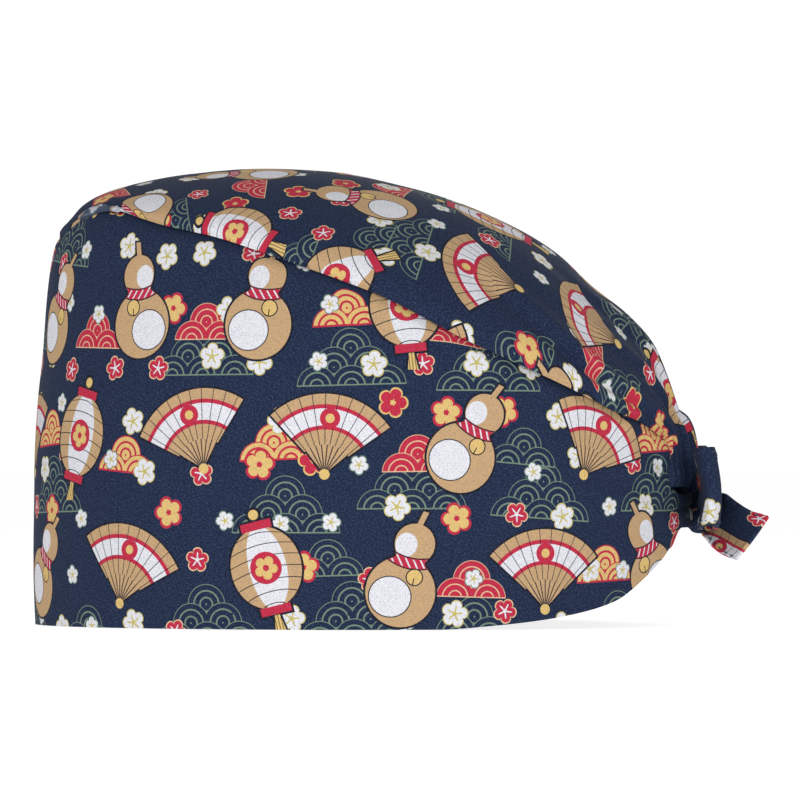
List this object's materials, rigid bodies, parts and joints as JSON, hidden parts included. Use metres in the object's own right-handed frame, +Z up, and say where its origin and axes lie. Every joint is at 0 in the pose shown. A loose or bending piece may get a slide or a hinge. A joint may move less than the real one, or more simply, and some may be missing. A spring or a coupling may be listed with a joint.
{
  "type": "surgical scrub cap",
  "caption": "Tie-back surgical scrub cap of printed cotton: a side panel, a gathered crown and a cloth bow, hollow for the head.",
  "frame": {"origin": "on the surface that the cap stands on, under the middle of its outline", "axes": "+X from the front of the cap back to the bow, +Y towards the wearer's right, +Z up"},
  "size_m": [0.2402, 0.1698, 0.1489],
  "materials": {
    "printed_cotton": "plain-weave cotton with a navy ground and a small ornamental print",
    "casing_cotton": "the same navy cotton, gathered",
    "ribbon_cotton": "the same printed cotton, folded into a topstitched tie"
  },
  "bodies": {
    "root": {"side_panel": "printed_cotton", "crown_panel": "printed_cotton", "back_casing": "casing_cotton", "tie_left": "ribbon_cotton", "tie_right": "ribbon_cotton", "bow_knot": "ribbon_cotton", "bow_loop_left": "ribbon_cotton", "bow_loop_right": "ribbon_cotton", "bow_tail_left": "ribbon_cotton", "bow_tail_right": "ribbon_cotton"}
  },
  "joints": []
}
